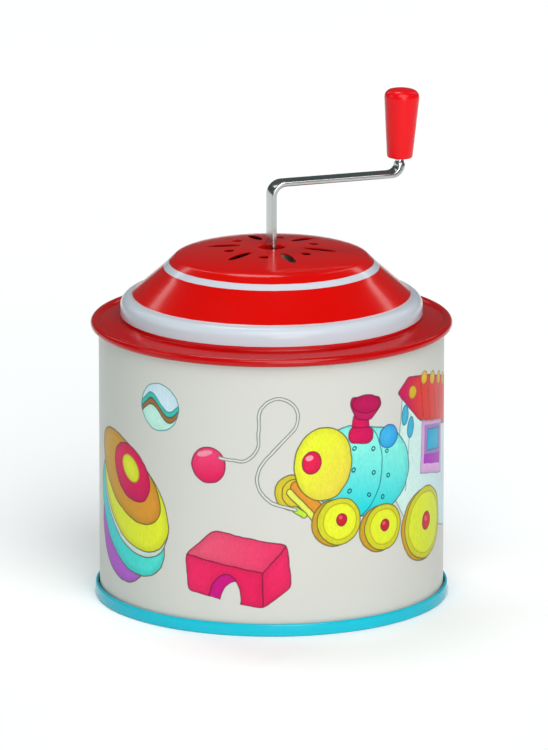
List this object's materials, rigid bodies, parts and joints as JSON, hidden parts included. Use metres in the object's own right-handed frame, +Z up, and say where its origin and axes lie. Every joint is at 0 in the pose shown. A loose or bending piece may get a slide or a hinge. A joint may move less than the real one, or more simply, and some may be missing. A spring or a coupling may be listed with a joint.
{
  "type": "hand-cranked tin music box",
  "caption": "Round printed toy tin with a domed lid; turning the crank on top drives a worm, a pinned cylinder and a comb that plays a tune.",
  "frame": {"origin": "centre of the round base, on the surface the tin stands on", "axes": "+Z up along the crank's axis; +X the way the crank's arm points at rest; the side seam is at the back, 70 degrees round from +X towards +Y"},
  "size_m": [0.1088, 0.1086, 0.1527],
  "materials": {
    "printed_tin": "cream litho print of toys under clear varnish, on tinplate",
    "red_tin": "glossy red lacquer on tinplate, with a white line and a white band",
    "blue_tin": "glossy sky-blue lacquer on tinplate",
    "plated_steel": "bright nickel plate, lightly brushed",
    "spring_steel": "hardened steel, ground",
    "brass": "turned brass",
    "cast_zinc": "matt die-cast zinc alloy",
    "nylon": "natural moulded nylon",
    "red_plastic": "smooth moulded red plastic"
  },
  "bodies": {
    "case": {"can_wall": "printed_tin", "base_pan": "blue_tin", "dome_lid": "red_tin", "lid_bush": "nylon", "comb": "spring_steel", "comb_screw_1": "plated_steel", "comb_screw_2": "plated_steel", "comb_screw_3": "plated_steel", "bedplate": "cast_zinc", "bedplate_screw_1": "plated_steel", "bedplate_screw_2": "plated_steel", "bedplate_screw_3": "plated_steel", "worm_bridge": "cast_zinc", "bridge_screw_1": "plated_steel", "bridge_screw_2": "plated_steel", "footstep_bush": "brass", "bridge_bush": "brass", "arbor_bush_left": "brass", "arbor_bush_right": "brass"},
    "crank": {"crank_strip": "plated_steel", "spindle": "plated_steel", "crank_cross_pin": "spring_steel", "spindle_clip": "spring_steel", "coupling_sleeve": "brass", "coupling_screw_lower": "spring_steel", "coupling_screw_upper": "spring_steel", "worm_shaft": "plated_steel"},
    "grip": {"crank_grip": "red_plastic", "grip_clip": "spring_steel"},
    "cylinder": {"melody_cylinder": "brass", "worm_wheel": "nylon", "cylinder_cap": "nylon", "cylinder_arbor": "plated_steel"}
  },
  "joints": [
    {"name": "crank_spin", "type": "hinge", "parent": "case", "child": "crank", "pos_m": [0, 0, 0.1], "axis": [0, 0, 1], "continuous": true},
    {"name": "grip_spin", "type": "hinge", "parent": "crank", "child": "grip", "pos_m": [0.04106, 0, 0.1311], "axis": [0.0349, 0, 0.9994], "continuous": true},
    {"name": "cylinder_spin", "type": "hinge", "parent": "case", "child": "cylinder", "pos_m": [0, -0.0115, 0.018], "axis": [1, 0, 0], "continuous": true}
  ],
  "couplings": [
    {"joint": "cylinder_spin", "follows": "crank_spin", "ratio": -0.05}
  ]
}
